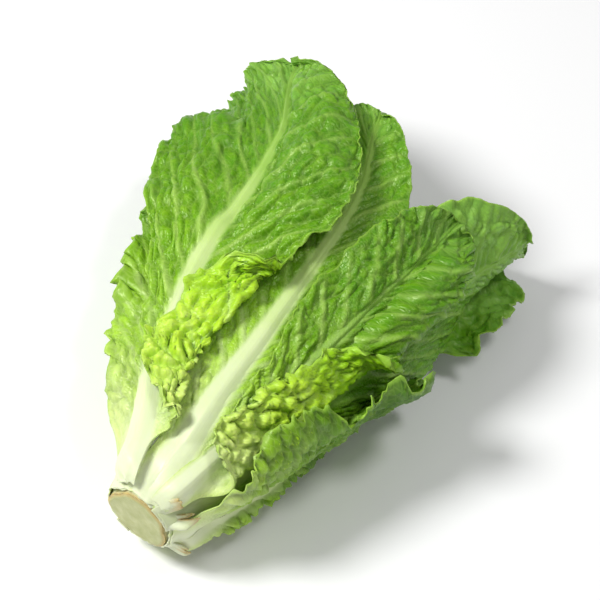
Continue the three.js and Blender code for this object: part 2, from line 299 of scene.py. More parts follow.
def drape(surface):
    """A surface that hangs over the highest places near by, smoothed."""
    return spread_out(spread_out(surface, np.max), np.mean)


def spline_weights(t):
    """How much the grid points before, at and after a place count for it."""
    return ((1 - t) ** 3 / 6, (3 * t ** 3 - 6 * t ** 2 + 4) / 6,
            (-3 * t ** 3 + 3 * t ** 2 + 3 * t + 1) / 6, t ** 3 / 6)


def sample(surface, x, angle):
    """The surface between its grid points, as a smooth cubic spline."""
    row = np.clip(x / CELL_X, 0, ROWS - 1.001)
    column = np.mod(angle, 360) / CELL_ANGLE
    i, j = np.floor(row).astype(int), np.floor(column).astype(int)
    total = 0
    for di, wi in zip((-1, 0, 1, 2), spline_weights(row - i)):
        rows = np.clip(i + di, 0, ROWS - 1)
        for dj, wj in zip((-1, 0, 1, 2), spline_weights(column - j)):
            total = total + wi * wj * surface[rows, (j + dj) % COLUMNS]
    return total


# ---- One leaf's plain shape ----

def along(values, u):
    """A smooth curve through values spread evenly from the root to the tip."""
    values = np.array(values, float)
    last = len(values) - 1
    place = np.clip(u, 0, 1) * last
    i = np.minimum(np.floor(place), last - 1).astype(int)
    t = place - i
    before, low = values[np.maximum(i - 1, 0)], values[i]
    high, after = values[i + 1], values[np.minimum(i + 2, last)]
    rise_low, rise_high = (high - before) / 2, (after - low) / 2
    return (low * (2 * t ** 3 - 3 * t ** 2 + 1) + rise_low * (t ** 3 - 2 * t ** 2 + t)
            + high * (3 * t ** 2 - 2 * t ** 3) + rise_high * (t ** 3 - t ** 2))


def rib_half_width(part, u):
    return part["rib"] * mix(1, RIB_TIP, np.sqrt(np.clip(u, 0, 1)))


def rib_height(part, u, distance):
    """How far the rib stands out of the leaf's back, at a distance from its middle."""
    half = rib_half_width(part, u)
    depth = half * mix(*RIB_DEPTH, u) * ramp(u, -0.06, 0.05)
    return depth * np.exp(-RIB_FALL * (distance / half) ** 2)


def half_width(part, u, side):
    """The blade's plain half width, rounded off towards the tip."""
    width = along(part["right"] if side > 0 else part["left"], u)
    end = np.clip((u - 0.6) / 0.4, 0, 1)
    return np.maximum(2.5, width * np.sqrt(1 - end ** 2.2))


def waves(s, length, seed):
    """Uneven waves from -1 to 1 along a margin, each about as long as given."""
    return noise(s / length, s * 0, seed)


def ragged_edge(part, u, side, folded):
    """How far the margin reaches past its plain outline: waves, teeth and small tears."""
    s = u * part["length"]
    seed = SEEDS[part["name"]] + 7 * side
    wave = 1.6 * waves(s, 24, seed) + 1.0 * waves(s, 9, seed + 1)
    teeth = 0.7 * waves(s, 3.2, seed + 2)
    tears = -3.0 * np.clip(waves(s, 13, seed + 3) - 0.45, 0, 1)
    deep = mix(1, 1.8, folded) * ramp(u, 0.04, 0.14) * mix(1, 0.3, ramp(u, 0.88, 0.98))
    return part["ragged"] * (wave + teeth + tears) * deep


def of_side(features, side):
    """The wing or lobe on one side of a leaf, if it has one."""
    return next((feature for feature in features if feature[0] == side), None)


def folded_outline(part, u, side):
    """The width of a half row, where its fold is, how folded it is and how far the fold turns."""
    blade = half_width(part, u, side)
    wing = of_side(part["wings"], side)
    if not wing:
        return blade, blade, 0 * u, 0
    _, low, high, hinges, reaches, fold = wing
    hinge = mix(*hinges, (u - low) / (high - low))
    reach = mix(*reaches, (u - low) / (high - low))
    width = mix(blade, hinge + CURL_RADIUS * math.pi + reach, within(u, low, high, 0.14))
    return width, hinge, within(u, low, high, 0.1), fold


def bulged(raised, part, u, v, side, plain):
    """The heights of a half row with the tip's flare, the flap and the lobe added."""
    if not plain:
        raised = raised + part["flare"] * ramp(u, 0.78, 1.0)
        if side < 0:
            raised = raised + part["flap"] * v * v * within(u, 0.03, 0.6, 0.15)
    lobe = of_side(part["lobes"], side)
    if lobe:
        _, low, high, height = lobe
        raised = raised + height * within(u, low, high, 0.2) * np.sin(math.pi * v) ** 2
        if not plain:
            step = ramp(v, 0.18, 0.32) * (1 - ramp(v, 0.7, 1.0))
            raised = raised + LOBE_STEP * within(u, low - 0.08, high, 0.15) * step
    return raised


def half_section(part, u, side, steps, plain):
    """One half of every row of a leaf, from its rib: across, raised, distance and how turned."""
    width, hinge, folded, fold = folded_outline(part, u, side)
    if not plain:
        width = np.maximum(2.0, width + ragged_edge(part, u, side, folded))
    v = np.arange(steps + 1)[None] / steps
    middle = (v[:, 1:] - 0.5 / steps) * width
    slope = np.radians(folded * fold * ramp(middle, hinge, hinge + CURL_RADIUS * math.pi))
    start = np.zeros_like(u)
    across = np.concatenate([start, np.cumsum(width / steps * np.cos(slope), 1)], 1)
    folding = np.concatenate([start, np.cumsum(width / steps * np.sin(slope), 1)], 1)
    raised = folding + part["lift"] * v * v * ramp(u, 0.2, 0.8) * (1 - folded)
    raised = bulged(raised, part, u, v, side, plain)
    turned = np.concatenate([start, slope], 1)
    return dict(across=side * across, raised=raised, distance=side * v * width,
                turned=turned, v=v + 0 * u)


def uneven_base(part, u, across):
    """How far a leaf's base falls short of the cut: unevenly, and more so away from its rib."""
    corner = 0.12 * np.abs(across) + 0.5 * noise(across / 3, 0 * u, 9)
    return corner * (1 - ramp(u * part["length"], 0, 14))


def lay(part, support, rows, steps, plain=False):
    """A leaf's middle surface on the head, as arrays of rows from its root to its tip."""
    i = np.arange(rows + 1)[:, None] / rows
    u = i - ROW_CROWDING * np.sin(2 * math.pi * i) / (2 * math.pi)
    left, right = (half_section(part, u, side, steps, plain) for side in (-1, 1))
    both = {key: np.concatenate([left[key][:, :0:-1], right[key]], 1) for key in left}
    x = part["start"] + part["length"] * u
    if not plain:
        x = x - (part["start"] - BASE) * (1 - ramp(x, part["start"], BASE_END))
    rib = along(part["angle"], u)
    here = sample(support, x, rib)
    step = head_point(x, rib + 1, here) - head_point(x, rib - 1, here)
    per_degree = np.linalg.norm(step, axis=-1) / 2
    both["x"] = x + SWEEP * ramp(u, 0, 0.5) * np.abs(both["across"])
    if not plain:
        both["x"] = both["x"] + uneven_base(part, u, both["across"])
    both["angle"] = rib + both["across"] / per_degree
    both["radius"] = sample(support, both["x"], both["angle"]) + both["raised"]
    both["u"] = u + 0 * both["x"]
    return both


def support_of(part, laid):
    """The surface a leaf lies on: what is laid already, or its own spread where that is wider."""
    air = mix(AIR[0], AIR[1], ramp(GRID_X, 20, 200)) + (GAP + LAMINA / 2) * GRID_PER_MM
    own = STEM["cut"] + (part["out"] - STEM["cut"]) * spread(GRID_X)
    return np.maximum(drape(laid) + air, own)


def cover(surface, part, places, inner):
    """Raises what is laid to a leaf's back, and notes where its inner face lies."""
    x, angle, radius = places["x"], places["angle"], places["radius"]
    per = radius_per_millimetre(x, angle)
    back = radius + (LAMINA / 2 + rib_height(part, places["u"], places["distance"])) * per
    row = np.clip(np.round(x / CELL_X), 0, ROWS - 1).astype(int)
    column = np.round(angle / CELL_ANGLE).astype(int) % COLUMNS
    np.maximum.at(surface, (row, column), back)
    np.minimum.at(inner, (row, column), radius - LAMINA / 2 * per)


def stem_surface():
    """The stem's own radius on the grid, and 0 past its end."""
    centre = np.stack(np.broadcast_arrays(GRID_X, lean(GRID_X), 0 * GRID_X), -1)
    unit = np.linalg.norm(head_point(GRID_X, GRID_ANGLE, 1 + 0 * GRID_X) - centre, axis=-1)
    return np.where(GRID_X < STEM["length"], stem_radius(GRID_X) / unit, 0)


def lay_all():
    """Every leaf's support, and the free room under and over it."""
    laid = stem_surface()
    found = []
    for part in LEAVES:
        support = support_of(part, laid)
        room_under = np.clip((support - laid) / GRID_PER_MM - LAMINA / 2, 0, FREE)
        inner = np.full_like(laid, np.inf)
        cover(laid, part, lay(part, support, DRAPED_ROWS, DRAPED_STEPS, plain=True), inner)
        order = OUTER.index(part) if part in OUTER else 0
        found.append(dict(part=part, support=support, under=room_under, inner=inner, order=order))
    ceiling = np.full_like(laid, np.inf)
    for entry in reversed(found):
        over = np.clip((ceiling - entry["support"]) / GRID_PER_MM - LAMINA / 2, 0, FREE)
        entry["over"] = spread_out(spread_out(over, np.min, 1, 2), np.mean, 1, 2)
        entry["under"] = spread_out(spread_out(entry["under"], np.min, 1, 1), np.mean, 1, 1)
        ceiling = np.minimum(ceiling, entry["inner"])
    return found, laid


# ---- One leaf's relief ----

def leaf_places(part, places):
    """Where every point of a leaf lies on it.

    u runs from root to tip and v from the rib to the margin, both as shares. s and t are the same in
    millimetres. half is the rib's half width there.
    """
    u = places["u"]
    t = np.abs(places["distance"])
    half = rib_half_width(part, u)
    return SimpleNamespace(
        u=u, v=places["v"], s=u * part["length"], t=t, half=half,
        side=np.sign(places["distance"]), off_rib=ramp(t, half * 0.8, half * 1.6),
        folded=ramp(places["turned"], 0.3, 1.5), seed=SEEDS[part["name"]])


def vein_order(p):
    """Numbers that are whole on the side veins, which leave the rib slantwise and bend tipwards."""
    q = p.s - (1.35 * p.t - 0.0035 * p.t * p.t)
    q = q + 9 * noise(p.s / 45, p.side * 3 + p.t / 50, p.seed + 4)
    q = q + 2.5 * noise(p.s / 13, p.side * 3 + p.t / 13, p.seed + 13)
    return q / VEIN_SPACING + 0.5 * (p.side > 0)


def side_veins(p, order):
    """The side veins, which narrow and fade towards the margin."""
    index = np.round(order)
    away = np.abs(order - index) * VEIN_SPACING * VEIN_SLANT
    strength = 0.6 + 0.4 * hashed(index.astype(np.int64), (p.side > 0).astype(np.int64), p.seed)
    taper = mix(1.9, 0.6, np.clip(p.t / 50, 0, 1))
    vein = strength * np.exp(-(away / taper) ** 2) * p.off_rib * ramp(p.u, 0.08, 0.3)
    return vein * (1 - ramp(p.v, 0.75, 1))


def pleats(p, order):
    """Pleats beside the rib, between the side veins."""
    phase = order * 3.5 + 0.8 * noise(p.s / 14, p.t / 14, p.seed + 5)
    pleat = np.cos(2 * math.pi * phase) * p.off_rib * (1 - ramp(p.t, p.half + 6, p.half + 24))
    return pleat * ramp(p.u, 0.06, 0.25)


def wrinkles(part, p, order):
    """Wrinkles that run out to the margin between the side veins."""
    bend = 0.5 * noise(p.s / 17, p.t / 17, p.seed + 15)
    ridge = 1 - np.abs(noise(order * 1.3 + bend, p.side * 2 + p.t / 12 + bend, p.seed + 14))
    return part["crease"] * (ridge ** 2 - 0.35) * p.off_rib * ramp(p.u, 0.12, 0.35)


def blisters(part, p):
    """Large and small blisters, drawn out along the side veins, and the distance to their borders."""
    warp_x, warp_y = noise(p.s / 11, p.t / 11, p.seed + 6), noise(p.s / 11, p.t / 11, p.seed + 7)
    forward = (p.s - 0.8 * p.t) / (1.2 * part["cell"]) + 0.6 * warp_x
    outwards = p.side * p.t / part["cell"] + 0.6 * warp_y
    border, middle = cells(forward, outwards, p.seed + 8)
    small_border, _ = cells(forward * 2.3, outwards * 2.2, p.seed + 9)
    return ramp(border, 0, 0.5) * (1 - 0.4 * middle ** 2), ramp(small_border, 0, 0.45), border


def blister_height(part, p):
    """How high the blisters stand: in patches, and more so towards the margin and on a fold."""
    patchy = 0.75 + 0.5 * noise(p.s / 34, p.side + p.t / 26, p.seed + 10)
    towards_margin = 0.3 + 0.7 * ramp(p.v, 0.15, 0.7)
    height = part["puff"] * patchy * towards_margin * mix(1, 2.0, p.folded) * p.off_rib
    return height * mix(ramp(p.u, 0.05, 0.25), ramp(p.u, 0.02, 0.1), p.folded)


def ruffles(part, p):
    """The margin's waves, long ones and short ones."""
    phase = p.s / 31 + 0.5 * noise(p.s / 40, p.side * 5.0, p.seed + 11)
    ruffle = (0.5 + 0.5 * np.cos(2 * math.pi * phase)) * p.v ** 3
    ruffle = ruffle + 0.3 * (0.5 + 0.5 * np.cos(2 * math.pi * (2.7 * phase + 0.3))) * p.v ** 5
    return part["ruffle"] * ruffle * ramp(p.u, 0.1, 0.3) * mix(1, 0.5, p.folded)


def relief(part, places):
    """A leaf's relief as a height off the blade, and masks for its colour, one of them painted shade in
    the pits between the blisters.
    """
    p = leaf_places(part, places)
    order = vein_order(p)
    vein = side_veins(p, order)
    large, small, border = blisters(part, p)
    swell = noise(p.s / 38, p.side * p.t / 30, p.seed + 12) * ramp(p.t, p.half, p.half + 25)
    # The blisters stand out of the back, and out of the inner face where that is folded outwards.
    facing = 1 - 2 * p.folded
    puffed = facing * (BLISTER["large"] * large + BLISTER["small"] * small)
    puffed = puffed + BLISTER["folded"] * p.folded
    bumps = RELIEF["vein"] * vein + RELIEF["pleat"] * pleats(p, order) + wrinkles(part, p, order)
    bumps = bumps + blister_height(part, p) * puffed
    total = bumps + ruffles(part, p) + RELIEF["swell"] * swell * ramp(p.u, 0.1, 0.3)
    net = np.exp(-(border / 0.09) ** 2) * p.off_rib
    # Painted shade: the colour darkens in the pits between the blisters, more on leaves with higher
    # blisters and less on a fold.
    painted_pit_shade = (1 - np.clip(0.7 * large + 0.3 * small, 0, 1)) * p.off_rib * ramp(p.u, 0.06, 0.2)
    painted_pit_shade = painted_pit_shade * np.clip(part["puff"] / 1.7, 0.6, 1.5) * (1 - 0.45 * p.folded)
    return total, dict(vein=np.clip(vein + 0.35 * net, 0, 1), painted_pit_shade=painted_pit_shade, folded=p.folded)


def grid_normals(points):
    """Outward unit normals of a grid of points."""
    lengthwise = np.gradient(points, axis=0)
    across = np.gradient(points, axis=1)
    normal = np.cross(across, lengthwise)
    return normal / np.maximum(np.linalg.norm(normal, axis=-1, keepdims=True), 1e-9)


def keeled(part, u, distance):
    """The rib's section: the CAD's height, with its crown drawn up to a blunt keel."""
    half = rib_half_width(part, u)
    t = np.abs(distance) / half
    depth = rib_height(part, u, 0 * distance)
    return depth * (0.72 * np.exp(-RIB_FALL * t ** 2) + 0.28 * np.clip(1 - t, 0, 1) ** 1.2)


def free_room(entry, places, rib):
    """How far a leaf's relief may go down and up before it meets other leaves."""
    x, angle = places["x"], places["angle"]
    raised = places["raised"] / radius_per_millimetre(x, angle)
    above = sample(entry["over"], x, angle)
    over = np.maximum(LEAST_ROOM, (above - raised - rib)) * ROOM_SHARE["over"]
    over = np.where(above > OPEN, FREE, over)
    under = sample(entry["under"], x, angle) + raised
    under = np.maximum(LEAST_ROOM, under) * ROOM_SHARE["under"]
    # On a folded margin the leaf's own blade lies on the side its normal points away from.
    flipped = np.cos(places["turned"]) < 0
    return np.where(flipped, FREE, under), over


def limited(height, under, over):
    """Heights that come close to the room under and over a leaf, but not past it."""
    return np.where(height > 0, over * np.tanh(height / over), -under * np.tanh(-height / under))


def leaf_surfaces(entry, rows, steps):
    """A leaf's inner face and back as grids of points in the head's frame, with colour masks."""
    part = entry["part"]
    places = lay(part, entry["support"], rows, steps)
    x, angle, u, distance = (places[key] for key in ("x", "angle", "u", "distance"))
    points = head_point(x, angle, places["radius"])
    height, masks = relief(part, places)
    root = 1 - ramp(u * part["length"], 0, 11)
    thin = 1 - 0.9 * root
    under, over = free_room(entry, places, rib_height(part, u, distance) * thin)
    height = limited(height, under, over)
    height = height + root * (BASE_STEP * entry["order"] - sample(entry["under"], x, angle))
    middle = points + height[..., None] * grid_normals(points)
    normals = grid_normals(middle)
    back = BLADE / 2 + keeled(part, u, distance) * thin
    faces = dict(inner=middle - normals * BLADE / 2, back=middle + normals * back[..., None])
    masks.update(u=u, v=places["v"], s=u * part["length"], t=distance)
    return faces, masks


# ---- From the head's frame to the object's ----

def stem_profile():
    """The rings of the stem's solid: their places along X and their radii."""
    x = STEM["length"] * (np.arange(STEM_RINGS + 1) / STEM_RINGS) ** STEM_CROWDING
    return x, stem_radius(x)


def tilted(points):
    """Points of the head's frame after the leafy end is raised."""
    x, y, z = points[..., 0], points[..., 1], points[..., 2]
    return np.stack([x * math.cos(TILT) - z * math.sin(TILT), y,
                     x * math.sin(TILT) + z * math.cos(TILT)], -1)


def find_offset():
    """How far the head's frame lies from the object's, by the stem's box."""
    x, radius = stem_profile()
    turn = np.arange(STEM_SIDES)[None] / STEM_SIDES * 2 * math.pi
    ring = np.stack(np.broadcast_arrays(x[:, None], lean(x)[:, None] + radius[:, None] * np.cos(turn),
                                        radius[:, None] * np.sin(turn)), -1)
    turned = tilted(ring).reshape(-1, 3)
    return STEM_MIDDLE / METRES - (turned.min(0) + turned.max(0)) / 2


STEM_MIDDLE = np.mean([list(corner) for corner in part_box("stem")], 0)
OFFSET = find_offset()


def placed(points):
    """Points of the head's frame as metres in the object's frame."""
    return (tilted(points) + OFFSET) * METRES


# ---- Meshes ----

def make_mesh(name, vertices, quads, attributes, uv=None):
    """A smooth mesh of quads, with a value for every vertex under each attribute's name."""
    mesh = bpy.data.meshes.new(name)
    mesh.vertices.add(len(vertices))
    mesh.vertices.foreach_set("co", np.ascontiguousarray(vertices, np.float32).ravel())
    mesh.loops.add(quads.size)
    mesh.loops.foreach_set("vertex_index", quads.astype(np.int32).ravel())
    mesh.polygons.add(len(quads))
    mesh.polygons.foreach_set("loop_start", np.arange(0, quads.size, 4, dtype=np.int32))
    mesh.polygons.foreach_set("use_smooth", np.ones(len(quads), bool))
    mesh.update(calc_edges=True)
    for key, values in attributes.items():
        kind, field = ("FLOAT_VECTOR", "vector") if values.ndim == 2 else ("FLOAT", "value")
        made = mesh.attributes.new(key, kind, "POINT")
        made.data.foreach_set(field, np.ascontiguousarray(values, np.float32).ravel())
    if uv is not None:
        layer = mesh.uv_layers.new(name="OFBake")
        layer.uv.foreach_set("vector", np.ascontiguousarray(uv, np.float32).ravel())
    piece = bpy.data.objects.new(name, mesh)
    bpy.context.scene.collection.objects.link(piece)
    return piece


def shell_quads(rows, columns):
    """The faces of a closed shell between two grids of vertices, the back's numbers first."""
    count = (rows + 1) * (columns + 1)
    at = np.arange(count).reshape(rows + 1, columns + 1)
    grid = np.stack([at[:-1, :-1], at[:-1, 1:], at[1:, 1:], at[1:, :-1]], -1).reshape(-1, 4)
    rim = np.concatenate([at[0, :-1], at[:-1, -1], at[-1, :0:-1], at[:0:-1, 0]])
    after = np.roll(rim, -1)
    border = np.stack([rim, rim + count, after + count, after], -1)
    return grid, grid[:, ::-1] + count, border


# A leaf's map: where the back's half and the inner face's half start, how large they are, and the
# strip between them that the border takes.
BACK_AT, INNER_AT, HALF_WIDE, HALF_HIGH, HALF_LOW = 0.01, 0.52, 0.47, 0.96, 0.02
STRIP = (0.49, 0.5)


def shell_uv(rows, columns, back, inner, border):
    """A map with the back in one half of the square, the inner face in the other."""
    v = np.arange(columns + 1)[None] / columns * HALF_WIDE + np.zeros((rows + 1, 1))
    u = np.arange(rows + 1)[:, None] / rows * HALF_HIGH + HALF_LOW + np.zeros((1, columns + 1))
    flat = np.stack([v, u], -1).reshape(-1, 2)
    low = np.arange(len(border)) / len(border)
    high = low + 1 / len(border)
    left, right = 0 * low + STRIP[0], 0 * low + STRIP[1]
    edge = np.stack([np.stack([left, low], -1), np.stack([right, low], -1),
                     np.stack([right, high], -1), np.stack([left, high], -1)], 1)
    faces = [(flat + [BACK_AT, 0])[back], (flat + [INNER_AT, 0])[inner - len(flat)]]
    return np.concatenate(faces + [edge]).reshape(-1, 2)


def leaf_attributes(part, masks):
    """A leaf's colour masks for every vertex, the back's first and then the inner face's."""
    count = masks["u"].size
    twice = {key: np.tile(value.ravel(), 2) for key, value in masks.items()}
    half = np.tile(rib_half_width(part, masks["u"]).ravel(), 2)
    white = 1 - ramp(np.abs(twice["t"]), half * 0.8, half * 1.3 + 1)
    white = white * (1 - part["faint"] * ramp(twice["u"], 0.2, 0.5))
    root_white = (1 - ramp(twice["u"], 0.02, 0.2)) * (1 - 0.85 * ramp(twice["v"], 0.4, 0.9))
    root_white = root_white * (1 - 0.75 * twice["folded"])
    # One of these masks is painted shade, for the pits between the blisters.
    return dict(
        place=np.stack([twice["s"], twice["t"], 0 * half + SEEDS[part["name"]]], -1),
        tone=np.clip(twice["u"] + part["tone"], 0, 1), rib=np.maximum(white, root_white),
        vein=twice["vein"], painted_pit_shade=twice["painted_pit_shade"], edge=ramp(twice["v"], 0.96, 1),
        inside=np.repeat([0.0, 1.0], count), cool=np.repeat(part["cool"], count))


def build_leaf(entry, spacing, material):
    """A leaf as one closed mesh: its back, its inner face and the thin border between them."""
    part = entry["part"]
    widest = max(part["left"]) + max(part["right"]) + sum(max(wing[4]) for wing in part["wings"])
    rows = round(part["length"] / spacing)
    steps = round(widest / spacing / 2)
    faces, masks = leaf_surfaces(entry, rows, steps)
    back, inner = placed(faces["back"]), placed(faces["inner"])
    if part["name"] == LOWEST:
        back[..., 2] = np.maximum(back[..., 2], 0)
        inner[..., 2] = np.maximum(inner[..., 2], PRESSED * METRES)
    vertices = np.concatenate([back.reshape(-1, 3), inner.reshape(-1, 3)])
    shell = shell_quads(rows, 2 * steps)
    piece = make_mesh(part["name"] + ".blade", vertices, np.concatenate(shell),
                      leaf_attributes(part, masks), shell_uv(rows, 2 * steps, *shell))
    piece.data.materials.append(material)
    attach(piece, "root")
    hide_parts(part["name"])


TRUNK_SIDES = 160  # of its mesh
CUT_RINGS, BODY_RINGS = 26, 110  # on the cut, and from its rim to the core's end
CUT_DISH = 0.5  # how deep the cut is hollowed
RIM_ROUNDING = 0.9  # how far the cut's rim is rounded back


def trunk_rings():
    """The trunk's rings, from the middle of the cut over its rim to the end of the core.

    They are given by their place along X, radius and angle, and by their share of the cut's radius,
    which is 2 for the rings that aren't on the cut.
    """
    face = np.linspace(0.02, 1, CUT_RINGS)
    body = STEM["length"] * np.linspace(0.004, 1, BODY_RINGS) ** STEM_CROWDING
    turn = np.arange(TRUNK_SIDES) / TRUNK_SIDES * 2 * math.pi
    x, turn = np.meshgrid(np.concatenate([0 * face, body]), turn, indexing="ij")
    radius = np.concatenate([STEM["cut"] * face, stem_radius(body)])[:, None] + 0 * turn
    share = np.concatenate([face, 2 + 0 * body])[:, None] + 0 * turn
    lumps = 1 + 0.05 * np.cos(3 * turn + 0.8) + 0.03 * np.cos(5 * turn) + 0.015 * np.cos(9 * turn + 2)
    radius = radius * mix(1, lumps, np.clip(1 - x / 40, 0, 1))
    rough = noise(radius * np.cos(turn) / 5, radius * np.sin(turn) / 5, 3)
    dish = CUT_DISH * (1 - np.clip(share, 0, 1) ** 2) + 0.25 * rough
    cut = share <= 1
    x = np.where(cut, dish + RIM_ROUNDING * ramp(share, 0.9, 1.0), x + RIM_ROUNDING)
    radius = np.where(cut, radius, radius + 0.25 * noise(x / 2.5, turn * 9, 5))
    return x, radius, turn, share


def trunk_quads(rings, sides):
    """The faces between rings, and those that close both ends round the last two vertices."""
    at = np.arange(rings * sides).reshape(rings, sides)
    beside = np.roll(at, -1, 1)
    body = np.stack([at[:-1], beside[:-1], beside[1:], at[1:]], -1).reshape(-1, 4)
    even = np.arange(0, sides, 2)
    after = (even + 2) % sides
    first = np.stack([0 * even + at.size, at[0][after], at[0][even + 1], at[0][even]], -1)
    last = np.stack([0 * even + at.size + 1, at[-1][even], at[-1][even + 1], at[-1][after]], -1)
    return np.concatenate([body, first, last])


def build_stem(material):
    """The trunk: its cut face, its rim and the core inside the leaves, all in one closed mesh."""
    x, radius, turn, share = trunk_rings()
    y, z = radius * np.cos(turn), radius * np.sin(turn)
    points = np.stack([x, lean(x) + y, z], -1).reshape(-1, 3)
    ends = [[x[0].mean(), lean(0.0), 0], [x[-1].mean(), lean(STEM["length"]), 0]]
    vertices = placed(np.concatenate([points, ends]))
    rim = np.where(share <= 1, ramp(share, 0.87, 1.0), 1 - ramp(x, 1.0, 4.5))
    place = np.stack([y, z, x], -1).reshape(-1, 3)
    attributes = dict(cut=np.append(share.ravel() <= 1, [1, 0]).astype(float),
                      rim=np.append(rim.ravel(), [0, 0]),
                      place=np.concatenate([place, np.zeros((2, 3))]))
    piece = make_mesh("stem.trunk", vertices, trunk_quads(*x.shape), attributes)
    piece.data.materials.append(material)
    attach(piece, "root")
    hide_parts("stem")


# The scales: angle round the stem, reach along it and half width.
SCALES = [(128, 8, 4.5), (150, 11, 4.0), (205, 7, 5.5), (300, 6, 5.0)]
SCALE_ROWS, SCALE_COLUMNS = 14, 12
SCALE_START = 0.6  # where they start, along X
SCALE_THICKNESS = 0.9


def scale_sheet(index, i, j, laid):
    """One scale's middle surface, on the trunk near the cut and on the leaves further along."""
    angle, reach, width = SCALES[index]
    torn = 1 + 0.35 * noise(j * 2.5, j * 0, 90 + index)
    x = SCALE_START + reach * i * torn
    half = width * (1 - 0.55 * i ** 2)
    turned = angle + np.degrees(j * half / STEM["body"])
    bark = stem_radius(x) / stretch(x, turned)[0]
    radius = mix(bark, sample(laid, x, turned) + 0.6, ramp(x, 0, 7))
    over_bases = BASE_STEP * len(OUTER) * (1 - ramp(x, 3, 12))
    radius = radius + over_bases + 0.2 + 0.3 * noise(i * 3, j * 3, 70 + index)
    return head_point(x, turned, radius)


def build_scales(material, laid):
    """Broken bases of leaves that were pulled off, round the cut."""
    i = np.arange(SCALE_ROWS + 1)[:, None] / SCALE_ROWS
    j = np.arange(SCALE_COLUMNS + 1)[None] / SCALE_COLUMNS * 2 - 1
    shell = np.concatenate(shell_quads(SCALE_ROWS, SCALE_COLUMNS))
    places = []
    for index in range(len(SCALES)):
        points = scale_sheet(index, i, j, laid)
        offset = SCALE_THICKNESS / 2 * grid_normals(points)
        places.extend([(points + offset).reshape(-1, 3), (points - offset).reshape(-1, 3)])
    count = 2 * len(places[0])
    quads = np.concatenate([shell + index * count for index in range(len(SCALES))])
    tips = np.tile((ramp(i, 0.55, 1.0) + 0 * j).ravel(), len(places))
    places = np.concatenate(places)
    attributes = dict(cut=0 * tips, rim=tips, place=places)
    piece = make_mesh("stem.scales", placed(places), quads, attributes)
    piece.data.materials.append(material)
    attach(piece, "root")


# ---- Materials ----

def linear(text):
    """An sRGB colour such as "84b534" as linear RGBA."""
    values = [int(text[i:i + 2], 16) / 255 for i in (0, 2, 4)]
    return [v / 12.92 if v <= 0.04045 else ((v + 0.055) / 1.055) ** 2.4 for v in values] + [1.0]


class Nodes:
    """A material's node tree, with short calls to add and join nodes."""

    def __init__(self, name):
        self.material = bpy.data.materials.new(name)
        self.material.use_nodes = True
        self.tree = self.material.node_tree
        self.shader = self.tree.nodes["Principled BSDF"]

    def add(self, kind, inputs, out=0, **settings):
        node = self.tree.nodes.new("ShaderNode" + kind)
        for key, value in settings.items():
            setattr(node, key, value)
        for key, value in inputs.items():
            self.put(node.inputs[key], value)
        return node.outputs[out]

    def put(self, socket, value):
        if isinstance(value, bpy.types.NodeSocket):
            self.tree.links.new(value, socket)
        else:
            socket.default_value = value

    def number(self, name):
        return self.add("Attribute", {}, out="Fac", attribute_name=name)

    def math(self, operation, a, b=0.0, clamp=False):
        return self.add("Math", {0: a, 1: b}, operation=operation, use_clamp=clamp)

    def times(self, a, b, clamp=False):
        return self.math("MULTIPLY", a, b, clamp)

    def blend(self, share, a, b):
        node = self.tree.nodes.new("ShaderNodeMix")
        node.data_type = "RGBA"
        sockets = [s for s in node.inputs if s.enabled]
        for socket, value in zip(sockets, (share, a, b)):
            self.put(socket, value)
        return next(s for s in node.outputs if s.enabled)

    def stops(self, share, stops):
        output = self.add("ValToRGB", {"Fac": share})
        elements = output.node.color_ramp.elements
        while len(elements) < len(stops):
            elements.new(0.5)
        for element, (at, colour) in zip(elements, stops):
            element.position = at
            element.color = linear(colour)
        return output

    def scaled(self, vector, scale):
        return self.add("VectorMath", {0: vector, 1: scale}, operation="MULTIPLY")

    def noise(self, vector, scale, detail=3.0):
        return self.add("TexNoise", {"Vector": vector, "Scale": scale, "Detail": detail})

    def set(self, **inputs):
        """Sets the shader's inputs, whose names have _ for a space here."""
        for key, value in inputs.items():
            self.put(self.shader.inputs[key.replace("_", " ")], value)


# Colours from a leaf's root to its tip, on its back, its inner face, its rib and its veins
BACK_STOPS = [(0.0, "d6e592"), (0.2, "a8d43c"), (0.42, "72a90e"), (0.65, "54900a"),
              (0.85, "5c981c"), (1.0, "88bc50")]
FACE_STOPS = [(0.0, "e8f5b4"), (0.15, "d8f078"), (0.3, "bfe834"), (0.45, "a0da10"),
              (0.7, "5c9608"), (1.0, "2e5a0c")]
RIB_STOPS = [(0.0, "dfe6c2"), (0.3, "d2dfa8"), (0.5, "bcd582"), (0.75, "97c055"), (1.0, "76a434")]
VEIN_STOPS = [(0.0, "d4dfaa"), (0.4, "a8ca60"), (1.0, "7fab44")]
# The third of these, for the pits between the blisters, is painted shade.
DEEP_GREEN, MOTTLE, PAINTED_PIT_SHADE, MARGIN = "28501e", "94c022", "345f08", "a4cc50"


def blade_colour(m, tone, fine, net):
    """Yellow green to deep green, with painted shade between the blisters, and paler along the margin.
    """
    blade = m.blend(m.number("inside"), m.stops(tone, BACK_STOPS), m.stops(tone, FACE_STOPS))
    cool = m.times(m.number("cool"), m.math("POWER", tone, 2.0), clamp=True)
    blade = m.blend(cool, blade, linear(DEEP_GREEN))
    mottle = m.times(m.math("SUBTRACT", fine, 0.42), 1.1, clamp=True)
    blade = m.blend(mottle, blade, linear(MOTTLE))
    # Painted shade, darkening the pits between the blisters.
    blade = m.blend(m.times(m.number("painted_pit_shade"), 0.55), blade, linear(PAINTED_PIT_SHADE))
    blade = m.blend(m.times(m.number("edge"), 0.5), blade, linear(MARGIN))
    line = m.math("SUBTRACT", 1.0, m.times(net, 9.0, clamp=True), clamp=True)
    vein_colour = m.stops(tone, VEIN_STOPS)
    blade = m.blend(m.times(line, 0.22), blade, vein_colour)
    return m.blend(m.times(m.number("vein"), 0.7), blade, vein_colour)


